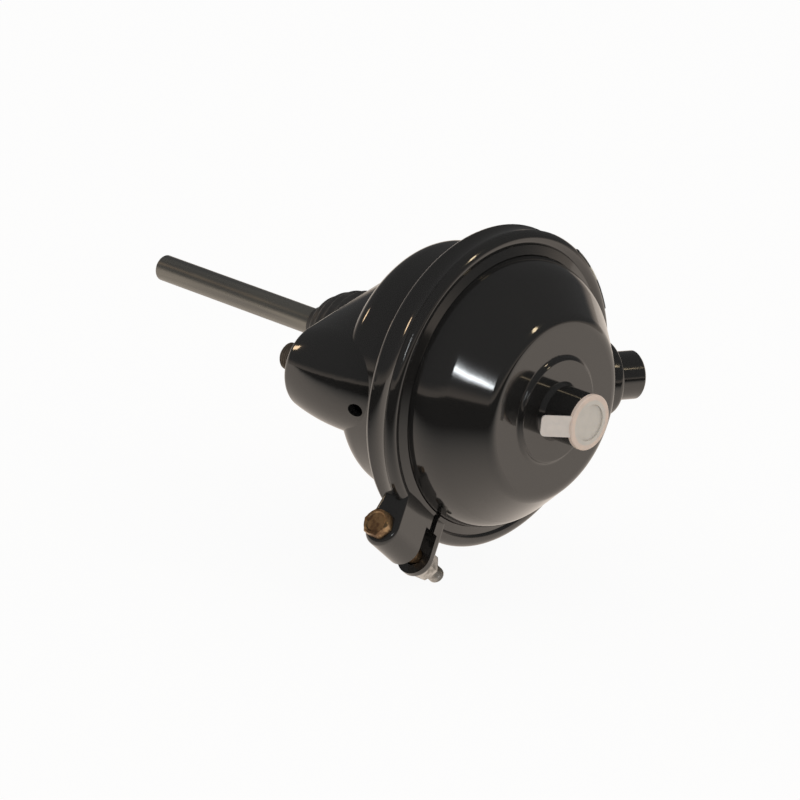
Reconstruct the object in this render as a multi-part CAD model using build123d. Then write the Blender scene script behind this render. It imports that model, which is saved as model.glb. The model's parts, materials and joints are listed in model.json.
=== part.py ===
from build123d import *
from math import atan, degrees, radians, sin, sqrt, tan
import os

# Service brake chamber: a clamped pair of housings with a rubber diaphragm between them.
# The chamber axis is X. The origin is the centre of the mounting face, the push rod points
# along -X, the pressure housing lies towards +X, and the two studs lie along Y.

# Mounting face, nose and studs
stud_circle_d = 120.7
stud_r = 8.0
stud_reach = 19.5
stud_hole_gap = 0.1
stud_neck_r = 8.5
stud_head_af = 24.0
stud_head_h = 8.0
stud_chamfer = 1.5
face_lobe_r = 24.0
face_waist_r = 42.0
nose_edge_round = 4.5
nose_root_x = 30.0
nose_end_x = 58.0
root_lobe_y = 52.0
root_lobe_r = 32.0
root_waist_r = 54.0
nose_wall = 5.0
nose_floor = 8.0
boot_seat_r = 29.0
boot_seat_depth = 0.6

# Non-pressure housing, the bowl behind the clamp ring
clamp_x = 82.0
bowl_r = 74.5
bowl_floor_x = 28.0
bowl_wall = 4.0
bowl_round = 14.0
vent_r = 4.0
vent_x = 50.5
vent_count = 3
vent_start_angle = -7.6
rod_hole_r = 17.0

# Flanges and diaphragm bead held by the clamp ring
flange_w = 12.0
flange_t = 4.0
flange_taper = 0.8
bead_t = 4.0
flange_root_round = 2.5

# Pressure housing, the dome on the air side
dome_step = 4.4
dome_depth = 48.5
dome_wall = 4.0
cone_start = 20.0
shoulder_r = 52.3
cone_round = 28.0
shoulder_round = 9.0
pad_r = 31.0
pad_h = 2.5
side_pad_r = 22.5
side_pad_inset = 0.9
side_pad_round = 4.0
air_passage_r = 5.0

# Port bosses
centre_boss_r = 15.6
side_boss_r = 14.1
boss_weld = 1.6
boss_weld_h = 3.0
centre_boss_h = 20.8
side_boss_h = 18.8
side_boss_ring_gap = 0.4
port_bore_r = 7.25
port_chamfer = 1.0
side_port_tilt = 18.0
side_port_axis_x = 81.0

# Clamp ring, a split V band
ring_rise = 6.0
ring_crest_x = 6.5
ring_valley_depth = 1.8
ring_side_x = 10.2
ring_side_drop = 3.5
ring_crease_drop = 8.0
crease_slope = 0.3
ring_lip_gap = 0.4
ring_lip_x = 10.8
ring_gap = 0.3
split_gap = 4.8
ear_gap = 12.0
ear_gap_depth = 3.0

# Clamp lug and its bolt
lug_angle = -51.9
lug_bolt_rise = 12.5
lug_bolt_x = 87.7
lug_shift = -3.9
lug_barrel_r = 10.6
head_ear_length = 26.9
nut_ear_length = 6.0
lug_foot_x = 84.5
lug_foot_w = 15.0
lug_foot_depth = 2.0
lug_end_round = 3.0
bolt_r = 4.75
bolt_gap = 0.6
bolt_af = 15.0
bolt_head_h = 5.8
bolt_nut_h = 8.0
bolt_thread_out = 13.0
hex_chamfer = 0.9

# Diaphragm, push plate and push rod
diaphragm_t = 3.5
diaphragm_gap = 0.5
plate_r = 44.0
plate_t = 4.0
plate_rim_h = 6.0
plate_rim_t = 3.0
hub_r = 14.0
hub_h = 10.0
rod_r = 8.0
rod_reach = 189.0
rod_chamfer = 2.5
rod_groove_r = 7.6
rod_groove_margin = 1.0
rod_gap = 0.08

# Return spring, its seat plate and the rod guide
seat_plate_t = 5.0
seat_plate_gap = 1.0
guide_flange_r = 24.0
guide_flange_t = 4.0
guide_gap = 0.15
spring_wire_r = 2.6
spring_seat_r = 31.0
spring_turns = 4.5
spring_rim_gap = 1.4

# Dust boot
boot_length = 55.0
boot_base_r = 28.5
boot_collar_r = 10.5
boot_collar_length = 5.0
boot_flange_t = 3.0
boot_wall = 1.5
boot_folds = 7
boot_fold_depth = 1.2
boot_bulge = 3.2
boot_rod_gap = 0.3
boot_ring_r = 22.0
boot_ring_t = 2.5
boot_ring_w = 4.0
boot_opening_r = 18.0

# Transit plug in the centre port
plug_flange_r = 16.0
plug_flange_t = 2.5
plug_recess_r = 10.5
plug_recess = 1.0
plug_stem_length = 11.0
plug_gap = 0.08
plug_bore_r = 5.2
plug_lead = 0.8
tab_width = 12.0
tab_length = 17.0
tab_t = 1.3
tab_root_r = 14.8
tab_lean = 38.0
tab_corner_r = 2.5

# Radii that follow the bowl
flange_r = bowl_r + flange_w
dome_r = bowl_r + dome_step
side_pad_reach = dome_r - side_pad_inset
ring_crest_r = flange_r + ring_rise
ring_valley_r = ring_crest_r - ring_valley_depth
ring_side_r = ring_crest_r - ring_side_drop
ring_crease_r = ring_crest_r - ring_crease_drop
ring_lip_r = dome_r + ring_lip_gap
ear_gap_floor_r = ring_crest_r - ear_gap_depth
lug_bolt_r = ring_crest_r + lug_bolt_rise

# Planes that the pieces share
stud_y = stud_circle_d / 2
dome_face_x = clamp_x + dome_depth
pad_face_x = dome_face_x + pad_h
centre_boss_end_x = pad_face_x + centre_boss_h
diaphragm_face_x = dome_face_x - dome_wall - diaphragm_gap
plate_face_x = diaphragm_face_x - diaphragm_t
plate_back_x = plate_face_x - plate_t
seat_face_x = nose_floor + seat_plate_t
flange_outer = bead_t / 2 + flange_t


def outline(*points):
    return make_face(Polyline(*points, close=True).edges())


def rounded(face, *corners):
    for x, r, radius in corners:
        near = face.vertices().sort_by_distance(Vector(x, r, 0))[0]
        face = fillet(near, radius)
    return face


def turned(face):
    return revolve(face, Axis.X, 360)


def round_bar(radius, x_from, x_to):
    length = x_to - x_from
    return Pos(x_from + length / 2, 0, 0) * Rot(0, 90, 0) * Cylinder(radius, length)


def hex_bar(across_flats, x_from, x_to):
    bar = extrude(Plane.YZ * RegularPolygon(across_flats / 2, 6, major_radius=False), x_to - x_from)
    length = x_to - x_from
    corner = across_flats / sqrt(3)
    face = outline((0, 0), (0, corner - hex_chamfer), (hex_chamfer, corner + hex_chamfer),
                   (length - hex_chamfer, corner + hex_chamfer), (length, corner - hex_chamfer), (length, 0))
    return Pos(x_from, 0, 0) * (bar & turned(face))


def at_side_port():
    return Pos(side_port_axis_x, 0, 0) * Rot(0, 0, 90 - side_port_tilt)


def nose_section(x, inset):
    near = min(x / nose_root_x, 1)
    far = max(x - nose_root_x, 0) / (nose_end_x - nose_root_x)
    lobe_r = face_lobe_r + (root_lobe_r - face_lobe_r) * near
    waist_r = face_waist_r + (root_waist_r - face_waist_r) * near
    lobe_centre = stud_y + (root_lobe_y - stud_y) * near + (bowl_r - root_lobe_r - root_lobe_y) * far
    circles = Sketch() + [
        Pos(lobe_centre, 0) * Circle(lobe_r - inset),
        Pos(-lobe_centre, 0) * Circle(lobe_r - inset),
        Circle(waist_r - inset),
    ]
    return Plane.YZ.offset(x) * make_hull(circles.edges())


def nose_block(x_from, inset):
    return loft([nose_section(x, inset) for x in (x_from, nose_root_x, nose_end_x)])


def vent_holes():
    hole = Pos(vent_x, 0, bowl_r) * Cylinder(vent_r, bowl_r)
    return [Rot(90 * (i + 1) - vent_start_angle, 0, 0) * hole for i in range(vent_count)]


def non_pressure_housing():
    flange_x = clamp_x - bead_t / 2
    bowl = outline(
        (bowl_floor_x, 0), (bowl_floor_x, bowl_r), (clamp_x - flange_outer, bowl_r),
        (clamp_x - flange_outer + flange_taper, flange_r), (flange_x, flange_r), (flange_x, 0))
    bowl = rounded(bowl, (bowl_floor_x, bowl_r, bowl_round),
                   (clamp_x - flange_outer, bowl_r, flange_root_round))
    nose = nose_block(0, 0)
    nose = fillet(nose.faces().sort_by(Axis.X)[0].edges(), nose_edge_round)
    cavity_r = bowl_r - bowl_wall
    cavity_x = bowl_floor_x + bowl_wall
    cavity = outline((cavity_x, 0), (cavity_x, cavity_r), (clamp_x, cavity_r), (clamp_x, 0))
    cavity = rounded(cavity, (cavity_x, cavity_r, bowl_round - bowl_wall))
    pocket = nose_block(nose_floor, nose_wall)
    body = turned(bowl) + nose - turned(cavity) - pocket
    body -= round_bar(rod_hole_r, -1, nose_floor + 1)
    body -= round_bar(boot_seat_r, -1, boot_seat_depth)
    for side in (-1, 1):
        body -= Pos(0, side * stud_y, 0) * round_bar(stud_neck_r + stud_hole_gap, -1, nose_floor + 1)
    for hole in vent_holes():
        body -= hole
    return body


def dome_corners(inset):
    # the two corners of the dome's section, moved inwards square to its walls
    slope = atan((dome_r - shoulder_r) / (dome_depth - cone_start))
    first = (clamp_x + cone_start - inset * tan(slope / 2), dome_r - inset)
    second = (dome_face_x - inset, shoulder_r - inset * tan((radians(90) - slope) / 2))
    return first, second


def dome_space(x_from, inset):
    first, second = dome_corners(inset)
    face = outline((x_from, 0), (x_from, first[1]), first, second, (second[0], 0))
    return turned(rounded(face, (*first, cone_round - inset), (*second, shoulder_round - inset)))


def pressure_housing():
    flange_x = clamp_x + bead_t / 2
    outer_x = clamp_x + flange_outer
    first, second = dome_corners(0)
    section = outline(
        (flange_x, 0), (flange_x, flange_r), (outer_x - flange_taper, flange_r), (outer_x, dome_r),
        first, second, (dome_face_x, pad_r), (pad_face_x, pad_r - pad_h / 2), (pad_face_x, 0))
    section = rounded(
        section, (*first, cone_round), (*second, shoulder_round),
        (dome_face_x, pad_r, pad_h), (pad_face_x, pad_r - pad_h / 2, pad_h / 2))
    place = at_side_port()
    side_pad = round_bar(side_pad_r, side_pad_reach / 2, side_pad_reach)
    side_pad = fillet(side_pad.edges().sort_by(Axis.X)[-1], side_pad_round)
    beyond_pad = place * round_bar(side_pad_r - side_pad_round, side_pad_reach, 2 * side_pad_reach)
    side_pad = place * side_pad - round_bar(ring_crest_r, 0, clamp_x + ring_lip_x + side_boss_ring_gap)
    body = turned(section) + side_pad - beyond_pad
    body -= dome_space(flange_x, dome_wall)
    body -= round_bar(air_passage_r, dome_face_x - 2 * dome_wall, pad_face_x + 1)
    body -= place * round_bar(air_passage_r, side_pad_reach / 2, side_pad_reach + 1)
    return body


def port_boss(radius, height):
    mouth_r = port_bore_r + port_chamfer
    face = outline(
        (0, port_bore_r), (0, radius + boss_weld), (boss_weld_h, radius), (height - port_chamfer, radius),
        (height, radius - port_chamfer), (height, mouth_r), (height - port_chamfer, port_bore_r))
    return turned(face)


def centre_port_boss():
    return Pos(pad_face_x, 0, 0) * port_boss(centre_boss_r, centre_boss_h)


def side_port_boss():
    boss = at_side_port() * Pos(side_pad_reach, 0, 0) * port_boss(side_boss_r, side_boss_h)
    return boss - round_bar(ring_crest_r, 0, clamp_x + ring_lip_x + side_boss_ring_gap)


def ring_disc():
    # the outside of the band, filled in to the axis; offsets run from the clamp plane
    crease_x = ring_lip_x - (ring_crease_r - ring_lip_r) * crease_slope
    lip = Vector(ring_lip_x, ring_lip_r)
    crease = Vector(crease_x, ring_crease_r)
    side = Vector(ring_side_x, ring_side_r)
    crest = Vector(ring_crest_x, ring_crest_r)
    half = Polyline((ring_lip_x, 0), lip, crease).edges() + ThreePointArc(crease, side, crest).edges()
    valley = ThreePointArc(crest, (0, ring_valley_r), (-ring_crest_x, ring_crest_r)).edges()
    base = Line((ring_lip_x, 0), (-ring_lip_x, 0)).edges()
    other_half = [mirror(edge, Plane.YZ) for edge in half]
    return Pos(clamp_x, 0, 0) * turned(make_face([*half, *valley, *other_half, *base]))


def ring_space():
    # the V that the flanges sit in, open to both sides inside the lips
    flange_slope = flange_taper / (flange_r - dome_r)
    lip_in_x = flange_outer + ring_gap - flange_slope * (ring_lip_r - dome_r)
    top_in_x = flange_outer + ring_gap - flange_slope * (flange_r + ring_gap - dome_r)
    reach = 2 * ring_lip_x
    return turned(outline(
        (clamp_x - reach, 0), (clamp_x - reach, ring_lip_r), (clamp_x - lip_in_x, ring_lip_r),
        (clamp_x - top_in_x, flange_r + ring_gap), (clamp_x + top_in_x, flange_r + ring_gap),
        (clamp_x + lip_in_x, ring_lip_r), (clamp_x + reach, ring_lip_r), (clamp_x + reach, 0)))


def at_lug():
    return Rot(90 - lug_angle, 0, 0) * Pos(0, lug_shift, 0)


def lug():
    # both ears in one, rolled round the bolt and spread onto the ring, extruded along the bolt
    length = nut_ear_length + ear_gap + head_ear_length
    middle = (head_ear_length - nut_ear_length) / 2
    barrel = Pos(lug_bolt_x, lug_bolt_r) * Circle(lug_barrel_r)
    foot = Pos(lug_foot_x, ring_lip_r + lug_foot_depth) * Rectangle(lug_foot_w, 2)
    profile = make_hull((Sketch() + [barrel, foot]).edges())
    ears = extrude(Plane.XZ.offset(-middle - length / 2) * profile, length)
    for end in (0, -1):
        ears = fillet(ears.faces().sort_by(Axis.Y)[end].edges().filter_by(GeomType.CIRCLE), lug_end_round)
    hole = Pos(lug_bolt_x, middle, lug_bolt_r) * Rot(90, 0, 0) * Cylinder(bolt_r + bolt_gap, 2 * length)
    return ears - hole


def clamp_ring():
    depth = 2 * (lug_bolt_r - ring_lip_r)
    split = Pos(clamp_x, 0, lug_bolt_r) * Box(4 * ring_lip_x, split_gap, depth + 2)
    between_ears = Pos(clamp_x, 0, ear_gap_floor_r + depth / 2) * Box(6 * ring_lip_x, ear_gap, depth)
    return ring_disc() + at_lug() * lug() - ring_space() - at_lug() * (split + between_ears)


def along_bolt(solid):
    return at_lug() * Pos(lug_bolt_x, 0, lug_bolt_r) * Rot(0, 0, 90) * solid


def clamp_bolt():
    head_seat = ear_gap / 2 + head_ear_length
    end = ear_gap / 2 + nut_ear_length + bolt_nut_h + bolt_thread_out
    head = hex_bar(bolt_af, head_seat, head_seat + bolt_head_h)
    return along_bolt(head + round_bar(bolt_r, -end, head_seat))


def clamp_nut():
    seat = ear_gap / 2 + nut_ear_length
    nut = hex_bar(bolt_af, -seat - bolt_nut_h, -seat)
    return along_bolt(nut - round_bar(bolt_r + stud_hole_gap, -2 * seat, 0))


def mounting_stud(side):
    head = hex_bar(stud_head_af, seat_face_x, seat_face_x + stud_head_h)
    neck = round_bar(stud_neck_r, 0, seat_face_x)
    shank = round_bar(stud_r, -stud_reach, 0)
    shank = chamfer(shank.edges().sort_by(Axis.X)[0], stud_chamfer)
    return Pos(0, side * stud_y, 0) * (head + neck + shank)


def stud_plate():
    plate = extrude(nose_section(nose_floor, nose_wall + seat_plate_gap), seat_plate_t)
    plate -= round_bar(rod_hole_r, 0, nose_end_x)
    for side in (-1, 1):
        plate -= Pos(0, side * stud_y, 0) * round_bar(stud_neck_r + stud_hole_gap, 0, nose_end_x)
    return plate


def rod_guide():
    sleeve_r = rod_hole_r - guide_gap
    bore_r = rod_r + rod_gap
    face = outline((0, bore_r), (0, sleeve_r), (seat_face_x, sleeve_r), (seat_face_x, guide_flange_r),
                   (seat_face_x + guide_flange_t, guide_flange_r), (seat_face_x + guide_flange_t, bore_r))
    return turned(face)


def diaphragm():
    inset = dome_wall + diaphragm_gap
    bead_r = flange_r - ring_gap
    bead = round_bar(bead_r, clamp_x - bead_t / 2, clamp_x + bead_t / 2)
    cup = dome_space(clamp_x - bead_t / 2, inset) - dome_space(clamp_x - bead_t, inset + diaphragm_t)
    return bead - round_bar(dome_r - inset - diaphragm_t / 2, 0, dome_face_x) + cup


def push_plate():
    rim_x = plate_back_x - plate_rim_h + plate_rim_t
    face = outline(
        (plate_face_x, rod_r - 1), (plate_face_x, plate_r), (rim_x, plate_r),
        (rim_x, plate_r - plate_rim_t), (plate_back_x, plate_r - plate_rim_t), (plate_back_x, rod_r - 1))
    face = rounded(face, (plate_face_x, plate_r, plate_rim_t), (plate_back_x, plate_r - plate_rim_t, 1))
    return turned(face) - round_bar(rod_r - 1, plate_back_x, plate_face_x)


def plate_hub():
    face = outline((plate_back_x, rod_r), (plate_back_x, hub_r), (plate_back_x - hub_h / 2, hub_r),
                   (plate_back_x - hub_h, rod_r + 2), (plate_back_x - hub_h, rod_r))
    return turned(face)


def push_rod():
    groove_x = -boot_length - rod_groove_margin
    groove_end_x = -boot_length + boot_collar_length + rod_groove_margin
    shank = outline(
        (-rod_reach, 0), (-rod_reach, rod_r - rod_chamfer), (-rod_reach + rod_chamfer, rod_r),
        (groove_x, rod_r), (groove_x, rod_groove_r), (groove_end_x, rod_groove_r), (groove_end_x, rod_r),
        (plate_back_x, rod_r), (plate_back_x, rod_r - 1), (plate_face_x, rod_r - 1), (plate_face_x, 0))
    return turned(shank)


def return_spring():
    low = seat_face_x
    high = plate_back_x
    top_r = plate_r - plate_rim_t - spring_rim_gap - spring_wire_r
    height = high - low
    pitch = height / spring_turns
    cone = degrees(atan((top_r - spring_seat_r) / height))
    path = Helix(pitch, height, spring_seat_r, cone_angle=cone)
    wire = Plane(origin=path @ 0, z_dir=path % 0) * Circle(spring_wire_r)
    coil = sweep(wire, path, is_frenet=True)
    coil = Pos(low, 0, 0) * Rot(0, 90, 0) * coil
    return coil & round_bar(2 * top_r, low, high)


def boot_envelope(share):
    # share 0 is at the rod collar, 1 at the mounting face; the boot bellies out between them
    straight = boot_collar_r + (boot_base_r - boot_collar_r) * sqrt(sin(radians(90) * share))
    return straight + boot_bulge * sin(radians(180) * share)


def boot_skin(inset):
    start = -boot_length + boot_collar_length
    span = -boot_flange_t - start
    points = []
    for i in range(2 * boot_folds + 1):
        share = i / (2 * boot_folds)
        depth = boot_fold_depth * sin(radians(180) * share) ** 0.5 if i % 2 else 0
        points.append((start + span * share, boot_envelope(share) - depth - inset))
    return points


def dust_boot():
    bore_r = rod_r + boot_rod_gap
    outer = boot_skin(0)
    inner = boot_skin(boot_wall)
    outer[0] = (outer[0][0], boot_collar_r)
    inner[0] = (inner[0][0], bore_r)
    inner[-1] = (-boot_flange_t, boot_ring_r + boot_rod_gap)
    face = outline(
        (-boot_length, bore_r), (-boot_length, boot_collar_r), *outer, (boot_seat_depth, boot_base_r),
        (boot_seat_depth, boot_opening_r), (-boot_flange_t, boot_opening_r), *reversed(inner))
    return turned(face)


def boot_ring():
    back_x = -boot_flange_t - boot_ring_t
    inside_r = boot_ring_r - boot_ring_w
    face = outline((back_x, inside_r), (back_x, boot_ring_r), (-boot_flange_t, boot_ring_r),
                   (-boot_flange_t, inside_r))
    return turned(face)


def port_plug():
    face_x = centre_boss_end_x
    top_x = face_x + plug_flange_t
    stem_r = port_bore_r - plug_gap
    stem_x = face_x - plug_stem_length
    face = outline(
        (stem_x, plug_bore_r), (stem_x, stem_r - plug_lead), (stem_x + 2 * plug_lead, stem_r),
        (face_x, stem_r), (face_x, plug_flange_r), (top_x, plug_flange_r), (top_x, plug_recess_r),
        (top_x - plug_recess, plug_recess_r), (top_x - plug_recess, 0), (face_x - plug_recess, 0),
        (face_x - plug_recess, plug_bore_r))
    face = rounded(face, (top_x, plug_flange_r, plug_lead))
    tab = Pos(tab_length / 2, 0, 0) * Box(tab_length, tab_t, tab_width)
    tab = fillet(tab.edges().filter_by(Axis.Y).sort_by(Axis.X)[-2:], tab_corner_r)
    return turned(face) + Pos(face_x + plug_flange_t / 2, -tab_root_r, 0) * Rot(0, 0, 270 - tab_lean) * tab


pieces = {
    "non_pressure_housing": non_pressure_housing,
    "pressure_housing": pressure_housing,
    "centre_port_boss": centre_port_boss,
    "side_port_boss": side_port_boss,
    "clamp_ring": clamp_ring,
    "clamp_bolt": clamp_bolt,
    "clamp_nut": clamp_nut,
    "mounting_stud_left": lambda: mounting_stud(-1),
    "mounting_stud_right": lambda: mounting_stud(1),
    "stud_plate": stud_plate,
    "rod_guide": rod_guide,
    "diaphragm": diaphragm,
    "push_plate": push_plate,
    "plate_hub": plate_hub,
    "push_rod": push_rod,
    "return_spring": return_spring,
    "dust_boot": dust_boot,
    "boot_ring": boot_ring,
    "port_plug": port_plug,
}

os.makedirs("parts", exist_ok=True)
for name, make in pieces.items():
    export_step(make(), f"parts/{name}.step")
    print(name)
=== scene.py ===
import bpy
import bmesh
import json
from math import cos, pi, radians, sin, sqrt, tan
from mathutils import Matrix, Vector
from mathutils.bvhtree import BVHTree


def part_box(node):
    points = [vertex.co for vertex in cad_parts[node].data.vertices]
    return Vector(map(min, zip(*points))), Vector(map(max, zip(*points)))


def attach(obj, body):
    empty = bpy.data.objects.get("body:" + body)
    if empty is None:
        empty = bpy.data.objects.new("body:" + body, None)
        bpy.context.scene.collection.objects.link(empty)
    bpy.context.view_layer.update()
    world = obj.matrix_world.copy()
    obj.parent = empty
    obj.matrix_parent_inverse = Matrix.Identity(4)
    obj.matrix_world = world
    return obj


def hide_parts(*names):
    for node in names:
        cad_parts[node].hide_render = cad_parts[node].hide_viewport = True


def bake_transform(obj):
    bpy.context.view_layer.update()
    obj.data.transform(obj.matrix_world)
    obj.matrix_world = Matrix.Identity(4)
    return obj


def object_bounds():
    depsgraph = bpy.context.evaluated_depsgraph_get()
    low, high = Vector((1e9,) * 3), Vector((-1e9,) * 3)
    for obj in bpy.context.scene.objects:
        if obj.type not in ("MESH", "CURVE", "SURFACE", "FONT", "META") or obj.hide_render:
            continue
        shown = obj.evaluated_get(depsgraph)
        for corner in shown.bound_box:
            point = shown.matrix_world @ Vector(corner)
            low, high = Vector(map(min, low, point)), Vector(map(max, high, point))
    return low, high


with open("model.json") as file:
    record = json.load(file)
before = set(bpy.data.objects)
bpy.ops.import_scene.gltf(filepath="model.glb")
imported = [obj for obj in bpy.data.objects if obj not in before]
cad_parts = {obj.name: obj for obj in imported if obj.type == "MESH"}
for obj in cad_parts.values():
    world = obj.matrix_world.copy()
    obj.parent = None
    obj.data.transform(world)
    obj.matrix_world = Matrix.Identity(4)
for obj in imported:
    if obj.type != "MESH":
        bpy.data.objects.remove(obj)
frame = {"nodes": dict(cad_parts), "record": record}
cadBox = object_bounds()
print("frame loaded, CAD box", [list(corner) for corner in cadBox])


class Wire:
    # a node's output that can be used in plain arithmetic
    def __init__(self, shader, output):
        self.shader = shader
        self.output = output

    def maths(self, operation, *values):
        sockets = dict(enumerate(values))
        return self.shader.add("Math", {"operation": operation}, sockets)

    def __add__(self, other):
        return self.maths("ADD", self, other)

    def __radd__(self, other):
        return self.maths("ADD", other, self)

    def __sub__(self, other):
        return self.maths("SUBTRACT", self, other)

    def __rsub__(self, other):
        return self.maths("SUBTRACT", other, self)

    def __mul__(self, other):
        return self.maths("MULTIPLY", self, other)

    def __rmul__(self, other):
        return self.maths("MULTIPLY", other, self)

    def __truediv__(self, other):
        return self.maths("DIVIDE", self, other)

    def __pow__(self, other):
        return self.maths("POWER", self, other)

    def __gt__(self, other):
        return self.maths("GREATER_THAN", self, other)

    def __lt__(self, other):
        return self.maths("LESS_THAN", self, other)

    def limited(self):
        return self.shader.add("Clamp", {}, {"Value": self})

    def between(self, low, high):
        # 0 below low, 1 above high, smooth in the middle
        settings = {"interpolation_type": "SMOOTHSTEP"}
        return self.shader.add("MapRange", settings, {"Value": self, "From Min": low, "From Max": high})


class Shader:
    def __init__(self, tree):
        self.tree = tree
        tree.nodes.clear()

    def add(self, kind, settings, sockets, output=0):
        node = self.tree.nodes.new("ShaderNode" + kind)
        for key, value in settings.items():
            setattr(node, key, value)
        for key, value in sockets.items():
            if isinstance(value, Wire):
                self.tree.links.new(value.output, node.inputs[key])
            else:
                node.inputs[key].default_value = value
        return Wire(self, node.outputs[output]) if node.outputs else node

    def mixColours(self, share, first, second):
        settings = {"data_type": "RGBA"}
        return self.add("Mix", settings, {0: share, 6: first, 7: second}, output=2)

    def place(self):
        return self.add("TexCoord", {}, {}, output="Object")

    def noise(self, scale, detail=2.0, roughness=0.5, place=None):
        sockets = {"Vector": place or self.place(), "Scale": scale}
        return self.add("TexNoise", {}, {**sockets, "Detail": detail, "Roughness": roughness})

    def axis(self, letter):
        return self.add("SeparateXYZ", {}, {"Vector": self.place()}, output=letter)

    def bump(self, height, strength, distance):
        return self.add("Bump", {}, {"Height": height, "Strength": strength, "Distance": distance})

    def finish(self, sockets):
        skin = self.add("BsdfPrincipled", {}, sockets)
        self.add("OutputMaterial", {}, {"Surface": skin})


def colour(red, green, blue):
    return (red, green, blue, 1.0)


def grey(level):
    return colour(level, level, level)


def makeMaterial(name, build):
    material = bpy.data.materials.new(name)
    material.use_nodes = True
    build(Shader(material.node_tree))
    return material


def dress(nodeNames, material):
    for nodeName in nodeNames:
        node = frame["nodes"][nodeName]
        for slot in node.material_slots:
            slot.material = material
        if not node.material_slots:
            node.data.materials.append(material)


def newPiece(name, mesh, material, smooth=True):
    piece = bpy.data.objects.new(name, mesh)
    bpy.context.scene.collection.objects.link(piece)
    mesh.materials.append(material)
    for face in mesh.polygons:
        face.use_smooth = smooth
    return piece


def gridMesh(name, rows, closedRows=False, closedColumns=True):
    # a skin over rows of points, each row as long as the others
    mesh = bmesh.new()
    grid = [[mesh.verts.new(point) for point in row] for row in rows]
    rowCount = len(grid)
    columnCount = len(grid[0])
    for i in range(rowCount if closedRows else rowCount - 1):
        for j in range(columnCount if closedColumns else columnCount - 1):
            a = grid[i][j]
            b = grid[i][(j + 1) % columnCount]
            c = grid[(i + 1) % rowCount][(j + 1) % columnCount]
            d = grid[(i + 1) % rowCount][j]
            mesh.faces.new((a, b, c, d))
    bmesh.ops.recalc_face_normals(mesh, faces=mesh.faces)
    data = bpy.data.meshes.new(name)
    mesh.to_mesh(data)
    mesh.free()
    return data


def turnedMesh(name, profile, steps=128, closed=True):
    # profile is a list of (x, radius) points, turned about the X axis
    rows = []
    for i in range(steps):
        angle = 2 * pi * i / steps
        rows.append([Vector((x, radius * cos(angle), radius * sin(angle))) for x, radius in profile])
    return gridMesh(name, rows, closedRows=True, closedColumns=closed)


def roundedProfile(corners, steps=6):
    # corners are (x, radius, rounding), and each corner becomes an arc of that rounding
    points = []
    count = len(corners)
    for i, (x, radius, rounding) in enumerate(corners):
        here = Vector((x, radius))
        if rounding <= 0:
            points.append((x, radius))
            continue
        before = (Vector(corners[i - 1][:2]) - here).normalized()
        after = (Vector(corners[(i + 1) % count][:2]) - here).normalized()
        half = before.angle(after) / 2
        reach = rounding / tan(half)
        centre = here + (before + after).normalized() * rounding / sin(half)
        start = here + before * reach - centre
        turn = start.angle_signed(here + after * reach - centre)
        for step in range(steps + 1):
            spoke = start.copy()
            spoke.rotate(Matrix.Rotation(-turn * step / steps, 2))
            points.append(tuple(centre + spoke))
    return points


def capEnds(data):
    mesh = bmesh.new()
    mesh.from_mesh(data)
    bmesh.ops.holes_fill(mesh, edges=[edge for edge in mesh.edges if edge.is_boundary], sides=0)
    bmesh.ops.recalc_face_normals(mesh, faces=mesh.faces)
    mesh.to_mesh(data)
    mesh.free()


def ringRow(x, radiusAt, steps):
    # one row of points round the X axis, radiusAt gives the radius for a turn from 0 to 1
    turns = [j / steps for j in range(steps)]
    return [Vector((x, radiusAt(t) * cos(2 * pi * t), radiusAt(t) * sin(2 * pi * t))) for t in turns]


def threadRadius(look, x):
    # a screw thread that starts at x = 0, where the tip tapers, and runs along +X
    def radiusAt(turn):
        phase = (x / look["pitch"] - turn) % 1.0
        tooth = min(1.0, max(0.0, 1.5 * (1 - abs(2 * phase - 1)) - 0.15))
        radius = look["root"] + (look["crest"] - look["root"]) * tooth
        return min(radius, look["crest"] - max(0.0, look["tip"] - x))
    return radiusAt


def hexRadius(acrossFlats, corner):
    def radiusAt(turn):
        side = (turn * 6) % 1.0 - 0.5
        return min(acrossFlats / 2 / cos(pi / 3 * side), corner)
    return radiusAt


def threadRows(look, length, steps=48, pitchSteps=8):
    count = int(length / look["pitch"] * pitchSteps)
    places = [length * i / count for i in range(count + 1)]
    return [ringRow(x, threadRadius(look, x), steps) for x in places]


def rowsPiece(name, rows, material, matrix=None):
    mesh = gridMesh(name, rows)
    capEnds(mesh)
    if matrix:
        mesh.transform(matrix)
    piece = newPiece(name, mesh, material)
    piece.data.set_sharp_from_angle(angle=radians(35))
    return piece


cameraLook = {
    "place": (1.2959, -1.4392, 0.5876),
    "right": (0.7243, 0.6835, 0.0912),
    "up": (-0.2727, 0.1625, 0.9483),
    "lens": 157.5,
    "sensor": 36.0,
}


def addCamera():
    camera = bpy.data.objects.new("camera", bpy.data.cameras.new("camera"))
    camera.data.lens = cameraLook["lens"]
    camera.data.sensor_width = cameraLook["sensor"]
    right = Vector(cameraLook["right"]).normalized()
    up = Vector(cameraLook["up"])
    up = (up - right * up.dot(right)).normalized()
    turn = Matrix((right, up, right.cross(up))).transposed()
    camera.matrix_world = Matrix.Translation(cameraLook["place"]) @ turn.to_4x4()
    bpy.context.scene.collection.objects.link(camera)
    bpy.context.scene.camera = camera


studio = {
    "floorSize": 14.0,
    "floorGap": 0.002,
    "floorColour": (0.80, 0.78, 0.75),
    "reflectedFloor": (0.86, 0.76, 0.67),
    "whiteShare": 0.93,
    "darkFrom": 0.10,
    "darkTo": 0.42,
    "ambient": 0.85,
    "ceiling": 0.10,
    "horizon": (0.5, 0.43, 0.37),
    "horizonHeight": 0.15,
}

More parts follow.
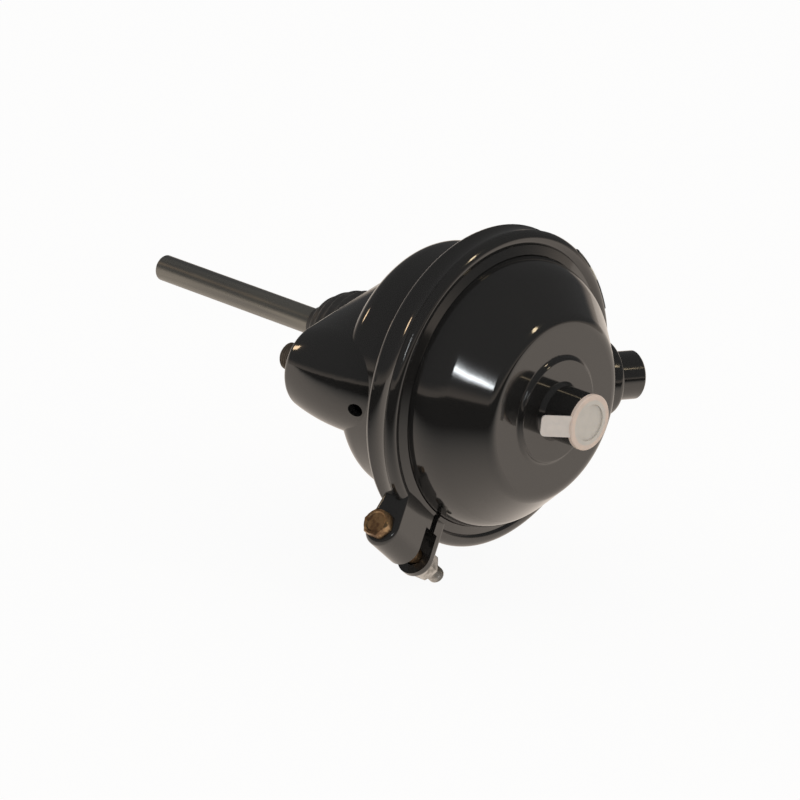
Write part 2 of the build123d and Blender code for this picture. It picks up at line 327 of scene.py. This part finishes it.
# direction as azimuth and height in degrees, size as an angle in degrees
lamps = {
    "daylight": {
        "azimuth": -39, "height": 19, "wide": 1.0, "tall": 15.0,
        "colour": (0.92, 0.97, 1.0), "glow": 32.0,
    },
    "warmLamp": {
        "azimuth": 23, "height": 42, "wide": 5.0, "tall": 13.0,
        "colour": (1.0, 0.80, 0.52), "glow": 11.0,
    },
    "warmSide": {
        "azimuth": -156, "height": 24, "wide": 6.0, "tall": 9.0,
        "colour": (1.0, 0.72, 0.45), "glow": 10.0,
    },
}
lampDistance = 3.0


def addFloor():
    z = cadBox[0][2] - studio["floorGap"]
    half = studio["floorSize"] / 2
    rows = [[Vector((x, y, z)) for y in (-half, half)] for x in (-half, half)]
    mesh = gridMesh("floor", rows, closedColumns=False)
    floor = newPiece("floor", mesh, makeMaterial("floorPaint", floorShader), smooth=False)


def floorShader(shader):
    seen = shader.add("LightPath", {}, {}, output="Is Camera Ray")
    mirrored = shader.add("LightPath", {}, {}, output="Is Glossy Ray")
    through = shader.add("LightPath", {}, {}, output="Is Transmission Ray")
    towardFront = shader.axis("X") * 0.665 - shader.axis("Y") * 0.747
    near = 1 - towardFront.between(studio["darkFrom"], studio["darkTo"])
    pale = shader.add("BsdfDiffuse", {}, {"Color": colour(*studio["floorColour"])})
    tint = shader.mixColours(mirrored, colour(1, 1, 1), colour(*studio["reflectedFloor"]))
    white = shader.add("Emission", {}, {"Color": tint, "Strength": 1.0})
    share = ((seen + through) * studio["whiteShare"] + mirrored * near).limited()
    shadowless = shader.add("MixShader", {}, {0: share, 1: pale, 2: white})
    dark = shader.add("Emission", {}, {"Color": colour(0, 0, 0), "Strength": 0.0})
    surface = shader.add("MixShader", {}, {0: mirrored * (1 - near), 1: shadowless, 2: dark})
    shader.add("OutputMaterial", {}, {"Surface": surface})


def addWorld():
    world = bpy.data.worlds.new("studio")
    world.use_nodes = True
    shader = Shader(world.node_tree)
    seen = shader.add("LightPath", {}, {}, output="Is Camera Ray")
    mirrored = shader.add("LightPath", {}, {}, output="Is Glossy Ray")
    through = shader.add("LightPath", {}, {}, output="Is Transmission Ray")
    direction = shader.add("TexCoord", {}, {}, output="Generated")
    height = shader.add("SeparateXYZ", {}, {"Vector": direction}, output="Z")
    above = height.between(0.0, studio["horizonHeight"])
    room = shader.mixColours(above, colour(*studio["horizon"]), grey(studio["ceiling"]))
    light = shader.mixColours(mirrored, grey(studio["ambient"]), room)
    light = shader.mixColours((seen + through).limited(), light, colour(1, 1, 1))
    background = shader.add("Background", {}, {"Color": light, "Strength": 1.0})
    shader.add("OutputWorld", {}, {"Surface": background})
    bpy.context.scene.world = world


def addLamps():
    for name, look in lamps.items():
        lamp = bpy.data.lights.new(name, "AREA")
        lamp.shape = "ELLIPSE"
        lamp.size = 2 * lampDistance * tan(radians(look["wide"]) / 2)
        lamp.size_y = 2 * lampDistance * tan(radians(look["tall"]) / 2)
        lamp.color = look["colour"]
        lamp.energy = look["glow"] * lamp.size * lamp.size_y * pi * pi / 4
        azimuth = radians(look["azimuth"])
        height = radians(look["height"])
        towards = Vector((cos(height) * cos(azimuth), cos(height) * sin(azimuth), sin(height)))
        holder = bpy.data.objects.new(name, lamp)
        turn = towards.to_track_quat("Z", "Y").to_matrix().to_4x4()
        holder.matrix_world = Matrix.Translation(towards * lampDistance) @ turn
        bpy.context.scene.collection.objects.link(holder)


paintLook = {
    "colour": (0.014, 0.0135, 0.013),
    "dustColour": (0.10, 0.095, 0.085),
    "gloss": 0.075,
    "dustScale": 420.0,
    "waveHeight": 0.0005,
}


def paintShader(shader):
    film = shader.noise(38.0, 3.0)
    wave = shader.noise(14.0, 1.0)
    peel = shader.noise(520.0, 2.0)
    grains = shader.add("TexVoronoi", {}, {"Vector": shader.place(), "Scale": paintLook["dustScale"]})
    patches = shader.noise(30.0, 4.0).between(0.50, 0.72)
    dust = (grains < 0.10) * patches * 0.20
    height = wave + peel * 0.004
    clean = colour(*paintLook["colour"])
    shader.finish({
        "Base Color": shader.mixColours(dust, clean, colour(*paintLook["dustColour"])),
        "Roughness": film * 0.03 + paintLook["gloss"] + dust * 0.12,
        "IOR": 1.75,
        "Coat Weight": 0.15,
        "Coat Roughness": 0.03,
        "Normal": shader.bump(height, 0.35, paintLook["waveHeight"]),
    })


steelLooks = {
    "studSteel": {
        "colour": (0.170, 0.140, 0.110), "second": (0.110, 0.088, 0.068),
        "metal": 0.45, "rough": 0.52,
    },
    "innerSteel": {
        "colour": (0.42, 0.42, 0.43), "second": (0.30, 0.30, 0.31),
        "metal": 1.0, "rough": 0.34,
    },
    "springSteel": {
        "colour": (0.10, 0.10, 0.105), "second": (0.06, 0.06, 0.06),
        "metal": 0.9, "rough": 0.38,
    },
    "boltZinc": {
        "colour": (0.50, 0.34, 0.19), "second": (0.24, 0.15, 0.09),
        "metal": 1.0, "rough": 0.30,
    },
    "nutZinc": {
        "colour": (0.60, 0.59, 0.57), "second": (0.34, 0.33, 0.31),
        "metal": 1.0, "rough": 0.28,
    },
}


def steelShader(look):
    def build(shader):
        cloud = shader.noise(160.0, 5.0, 0.65)
        fine = shader.noise(900.0, 3.0)
        stain = cloud.between(0.42, 0.62)
        shader.finish({
            "Base Color": shader.mixColours(stain, colour(*look["colour"]), colour(*look["second"])),
            "Roughness": (stain * 0.18 + look["rough"]) + fine * 0.06,
            "Metallic": look["metal"],
            "Normal": shader.bump(fine, 0.25, 0.0002),
        })
    return build


rodLook = {"colour": (0.230, 0.222, 0.200), "second": (0.150, 0.148, 0.142), "metal": 0.8, "rough": 0.22}


def rodShader(shader):
    # satin drawn steel, with faint streaks along its length
    stretched = shader.add("Mapping", {}, {"Vector": shader.place(), "Scale": (6.0, 160.0, 160.0)})
    streaks = shader.noise(1.0, 3.0, 0.5, stretched).between(0.35, 0.70)
    haze = shader.noise(24.0, 3.0).between(0.40, 0.70)
    shader.finish({
        "Base Color": shader.mixColours(streaks, colour(*rodLook["colour"]), colour(*rodLook["second"])),
        "Roughness": streaks * 0.06 + haze * 0.08 + rodLook["rough"],
        "Metallic": rodLook["metal"],
    })


rubberLook = {"colour": (0.030, 0.029, 0.028), "worn": (0.075, 0.070, 0.065), "rough": 0.42}


def rubberShader(shader):
    cloud = shader.noise(70.0, 4.0)
    fine = shader.noise(700.0, 2.0)
    worn = cloud.between(0.45, 0.75) * 0.6
    shader.finish({
        "Base Color": shader.mixColours(worn, colour(*rubberLook["colour"]), colour(*rubberLook["worn"])),
        "Roughness": worn * 0.15 + rubberLook["rough"],
        "Normal": shader.bump(fine, 0.2, 0.0002),
    })


plugLook = {
    "rim": (0.66, 0.53, 0.45),
    "disc": (0.56, 0.52, 0.47),
    "tab": (0.64, 0.58, 0.53),
    "discEdge": 0.0129,
    "edgeBlur": 0.0006,
    "tabStart": 0.0160,
    "grime": (0.42, 0.41, 0.38),
}


def plugShader(shader):
    y = shader.axis("Y")
    z = shader.axis("Z")
    fromAxis = (y * y + z * z) ** 0.5
    blur = plugLook["edgeBlur"]
    rim = fromAxis.between(plugLook["discEdge"] - blur, plugLook["discEdge"] + blur)
    tab = fromAxis.between(plugLook["tabStart"], plugLook["tabStart"] + blur)
    face = shader.mixColours(rim, colour(*plugLook["disc"]), colour(*plugLook["rim"]))
    whole = shader.mixColours(tab, face, colour(*plugLook["tab"]))
    mottle = shader.noise(220.0, 4.0).between(0.35, 0.75)
    shade = shader.mixColours(mottle * 0.25, whole, colour(*plugLook["grime"]))
    shader.finish({
        "Base Color": shade,
        "Roughness": mottle * 0.15 + 0.38,
        "Subsurface Weight": 0.08,
        "Subsurface Radius": (0.004, 0.003, 0.002),
        "Normal": shader.bump(mottle, 0.12, 0.0003),
    })


def guideShader(shader):
    grain = shader.noise(600.0, 2.0)
    shader.finish({
        "Base Color": shader.mixColours(grain, grey(0.030), grey(0.050)),
        "Roughness": grain * 0.1 + 0.5,
    })


boot = {
    "folds": 7,
    "foldDepth": 0.0016,
    "bulge": 0.0032,
    "collarLength": 0.005,
    "collarRadius": 0.0105,
    "flange": 0.003,
    "wall": 0.0015,
    "rodGap": 0.0003,
    "openingRadius": 0.018,
}


def bootRadius(share):
    # share runs from the rod collar at 0 to the mounting face at 1
    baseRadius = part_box("dust_boot")[1][1] - boot["bulge"] * 0.5
    grown = boot["collarRadius"] + (baseRadius - boot["collarRadius"]) * sqrt(sin(pi / 2 * share))
    ripple = 0.5 - 0.5 * cos(2 * pi * boot["folds"] * share)
    valley = boot["foldDepth"] * ripple * sqrt(sin(pi * share) + 1e-9)
    return grown + boot["bulge"] * sin(pi * share) * 0.6 - valley


def addBoot(material):
    low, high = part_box("dust_boot")
    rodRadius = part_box("push_rod")[1][2]
    start = low[0] + boot["collarLength"]
    end = -boot["flange"]
    samples = 12 * boot["folds"]
    outer = []
    for i in range(samples + 1):
        share = i / samples
        outer.append((start + (end - start) * share, bootRadius(share)))
    inner = [(x, radius - boot["wall"]) for x, radius in reversed(outer)]
    inner[-1] = (inner[-1][0], rodRadius + boot["rodGap"])
    bore = [(low[0], rodRadius + boot["rodGap"]), (low[0], boot["collarRadius"] - 0.0006),
            (low[0] + 0.0006, boot["collarRadius"])]
    base = [(0.0, high[1] - 0.002), (0.0, boot["openingRadius"]), (end, boot["openingRadius"])]
    mesh = turnedMesh("rubberBoot", bore + outer + base + inner, steps=144)
    piece = newPiece("rubberBoot", mesh, material)
    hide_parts("dust_boot")
    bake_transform(piece)
    print("boot built")


spring = {
    "wire": 0.0026,
    "turns": 4.5,
    "endTurns": 0.75,
    "seatRadius": 0.031,
    "plateRadius": 0.0370,
    "plateThick": 0.004,
}


def addSpring(material):
    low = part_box("stud_plate")[1][0]
    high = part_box("push_plate")[1][0] - spring["plateThick"]
    wire = spring["wire"]
    total = spring["turns"] + 2 * spring["endTurns"]
    span = high - low - 2 * wire
    rows = []
    steps = int(total * 40)
    for i in range(steps + 1):
        turned = total * i / steps
        climb = min(1.0, max(0.0, (turned - spring["endTurns"]) / spring["turns"]))
        angle = 2 * pi * turned
        radius = spring["seatRadius"] + (spring["plateRadius"] - spring["seatRadius"]) * climb
        outward = Vector((0, cos(angle), sin(angle)))
        centre = outward * radius + Vector((low + wire + span * climb, 0, 0))
        rows.append([centre + outward * wire * cos(a) + Vector((wire * sin(a), 0, 0))
                     for a in (2 * pi * k / 12 for k in range(12))])
    mesh = gridMesh("coilSpring", rows)
    capEnds(mesh)
    piece = newPiece("coilSpring", mesh, material)
    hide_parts("return_spring")
    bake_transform(piece)
    print("spring built")


diaphragm = {"thick": 0.0035, "bead": 0.004, "wallRadius": 0.0744, "faceRadius": 0.0500}


def addDiaphragm(material):
    low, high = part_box("diaphragm")
    plane = low[0] + diaphragm["bead"] / 2
    thick = diaphragm["thick"]
    outerRadius = high[1]
    wallRadius = diaphragm["wallRadius"]
    corners = [
        (plane - diaphragm["bead"] / 2, outerRadius, 0),
        (plane + diaphragm["bead"] / 2, outerRadius, 0),
        (plane + diaphragm["bead"] / 2, wallRadius, 0.001),
        (plane + 0.016, wallRadius, 0.010),
        (high[0], diaphragm["faceRadius"], 0.010),
        (high[0], 0.0005, 0),
        (high[0] - thick, 0.0005, 0),
        (high[0] - thick, diaphragm["faceRadius"] - thick * 0.45, 0.0065),
        (plane + 0.016 - thick * 0.4, wallRadius - thick, 0.0065),
        (plane - diaphragm["bead"] / 2, wallRadius - thick, 0),
    ]
    mesh = turnedMesh("rubberDiaphragm", roundedProfile(corners), steps=120)
    piece = newPiece("rubberDiaphragm", mesh, material)
    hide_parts("diaphragm")
    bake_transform(piece)
    print("diaphragm built")


studThread = {"crest": 0.0080, "root": 0.0071, "pitch": 0.0015, "tip": 0.0014}
studLook = {
    "neck": 0.0085,
    "acrossFlats": 0.024,
    "headHeight": 0.008,
    "corner": 0.0133,
    "washerFace": 0.0004,
}


def addStud(node, material):
    low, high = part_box(node)
    centre = (Vector(low) + Vector(high)) / 2
    head = high[0] - low[0] - studLook["headHeight"]
    end = high[0] - low[0]
    edge = studLook["washerFace"]
    rows = threadRows(studThread, -low[0] - edge)
    rows += [ringRow(x, lambda turn: studLook["neck"], 48) for x in (-low[0], head)]
    for x, corner in ((head, -edge), (head + edge, 0), (end - 3 * edge, 0), (end, -3 * edge)):
        rows.append(ringRow(x, hexRadius(studLook["acrossFlats"], studLook["corner"] + corner), 48))
    place = Matrix.Translation((low[0], centre.y, centre.z))
    piece = rowsPiece(node.replace("mounting_stud", "threadedStud"), rows, material, place)
    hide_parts(node)
    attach(piece, "housing")


boltThread = {"crest": 0.00475, "root": 0.0041, "pitch": 0.00125, "tip": 0.0012}
boltLook = {
    "lugAngle": -51.9,
    "shank": 0.00475,
    "threadLength": 0.026,
    "acrossFlats": 0.015,
    "corner": 0.00855,
    "headHeight": 0.0058,
    "edge": 0.0005,
    "dish": 0.0006,
}


def spanAlong(node, origin, direction):
    # how far a CAD node reaches back and forward from origin along a direction
    reaches = [(node.matrix_world @ vertex.co - origin).dot(direction) for vertex in node.data.vertices]
    return min(reaches), max(reaches)


def addBolt(headMaterial, threadMaterial):
    low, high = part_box("clamp_bolt")
    centre = (Vector(low) + Vector(high)) / 2
    angle = radians(90 - boltLook["lugAngle"])
    direction = Vector((0, cos(angle), sin(angle)))
    back, front = spanAlong(frame["nodes"]["clamp_bolt"], centre, direction)
    length = front - back
    turn = direction.to_track_quat("X", "Z").to_matrix().to_4x4()
    place = Matrix.Translation(centre + direction * back) @ turn
    rows = threadRows(boltThread, boltLook["threadLength"])
    thread = rowsPiece("boltThread", rows, threadMaterial, place)
    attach(thread, "housing")
    seat = length - boltLook["headHeight"]
    edge = boltLook["edge"]
    rows = [ringRow(x, lambda turn: boltLook["shank"], 48) for x in (boltLook["threadLength"], seat)]
    for x, corner in ((seat, -edge), (seat + edge, 0), (length - edge, 0), (length, -2 * edge)):
        rows.append(ringRow(x, hexRadius(boltLook["acrossFlats"], boltLook["corner"] + corner), 48))
    for share in (0.82, 0.74):
        x = length - (boltLook["dish"] if share < 0.8 else 0)
        rows.append(ringRow(x, lambda turn: boltLook["acrossFlats"] / 2 * share, 48))
    head = rowsPiece("boltHead", rows, headMaterial, place)
    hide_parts("clamp_bolt")
    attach(head, "housing")
    print("clamp bolt built")


# the angle runs from the left stud's side upwards; outside is a radius beyond the ring
label = {
    "angle": 142,
    "length": 0.049,
    "width": 0.0175,
    "thick": 0.0007,
    "lift": 0.0001,
    "outside": 0.12,
    "wornFrom": 0.0665,
    "wornTo": 0.0742,
    "wornEdge": 0.0007,
}


def addLabel(material):
    # a bare plate bent over the outside of the clamp ring
    ring = frame["nodes"]["clamp_ring"]
    skin = BVHTree.FromObject(ring, bpy.context.evaluated_depsgraph_get())
    middle = (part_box("non_pressure_housing")[1][0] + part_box("pressure_housing")[0][0]) / 2
    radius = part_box("clamp_ring")[1][2]
    around, across = 40, 14
    outer = []
    for i in range(around + 1):
        angle = radians(180 - label["angle"]) + label["length"] / radius * (i / around - 0.5)
        outward = Vector((0, cos(angle), sin(angle)))
        row = []
        for j in range(across + 1):
            x = middle + label["width"] * (j / across - 0.5)
            start = outward * label["outside"] + Vector((x, 0, 0))
            row.append((skin.ray_cast(start, -outward)[0], outward))
        outer.append(row)
    rows = []
    for row in outer:
        top = [point + outward * (label["lift"] + label["thick"]) for point, outward in row]
        bottom = [point + outward * label["lift"] for point, outward in reversed(row)]
        rows.append(top + bottom)
    piece = rowsPiece("labelPlate", rows, material)
    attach(piece, "housing")
    print("label plate built")


def labelShader(shader):
    # dark foil with one pale worn patch near its upper end
    y = shader.axis("Y")
    start = label["wornFrom"]
    end = label["wornTo"]
    edge = label["wornEdge"]
    patch = y.between(start, start + edge) * (1 - y.between(end - edge, end))
    shader.finish({
        "Base Color": shader.mixColours(patch, colour(0.030, 0.036, 0.036), colour(0.60, 0.56, 0.47)),
        "Roughness": patch * 0.2 + 0.30,
    })


portThread = {
    "root": 0.0072,
    "depth": 0.0007,
    "pitch": 0.0015,
    "length": 0.0120,
    "setBack": 0.0010,
    "rootShare": 0.42,
    "crestShare": 0.15,
}


def addPortThread(material):
    # the thread inside the side port, a ridge wound round the bore
    look = portThread
    mount = next(item for item in frame["record"]["mounts"] if item["name"] == "side_port")
    direction = Vector(mount["axis"]).normalized()
    mouth = Vector(mount["pos_m"])
    turns = look["length"] / look["pitch"]
    steps = int(turns * 40)
    half = look["pitch"] * look["rootShare"]
    tip = half * look["crestShare"]
    rows = []
    for i in range(steps + 1):
        angle = 2 * pi * turns * i / steps
        x = -look["setBack"] - look["length"] * i / steps
        outward = Vector((0, cos(angle), sin(angle)))
        rows.append([
            outward * look["root"] + Vector((x - half, 0, 0)),
            outward * look["root"] + Vector((x + half, 0, 0)),
            outward * (look["root"] - look["depth"]) + Vector((x + tip, 0, 0)),
            outward * (look["root"] - look["depth"]) + Vector((x - tip, 0, 0)),
        ])
    turn = direction.to_track_quat("X", "Z").to_matrix().to_4x4()
    piece = rowsPiece("portThread", rows, material, Matrix.Translation(mouth) @ turn)
    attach(piece, "housing")
    print("port thread built")


bpy.context.scene.view_settings.view_transform = "Standard"
addCamera()
addWorld()
addFloor()
addLamps()
print("camera, floor, world and lamps placed")

blackPaint = makeMaterial("blackPaint", paintShader)
rubber = makeMaterial("rubber", rubberShader)
steels = {name: makeMaterial(name, steelShader(look)) for name, look in steelLooks.items()}
dress(["non_pressure_housing", "pressure_housing", "clamp_ring"], blackPaint)
dress(["centre_port_boss", "side_port_boss"], blackPaint)
dress(["push_rod"], makeMaterial("rodSteel", rodShader))
dress(["stud_plate", "push_plate", "plate_hub", "boot_ring"], steels["innerSteel"])
dress(["clamp_nut"], steels["nutZinc"])
dress(["rod_guide"], makeMaterial("guidePlastic", guideShader))
dress(["port_plug"], makeMaterial("plugPlastic", plugShader))
print("CAD nodes dressed")

addBoot(rubber)
addSpring(steels["springSteel"])
addDiaphragm(rubber)
for node in ("mounting_stud_left", "mounting_stud_right"):
    addStud(node, steels["studSteel"])
addBolt(steels["boltZinc"], steels["nutZinc"])
addLabel(makeMaterial("labelFoil", labelShader))
addPortThread(blackPaint)
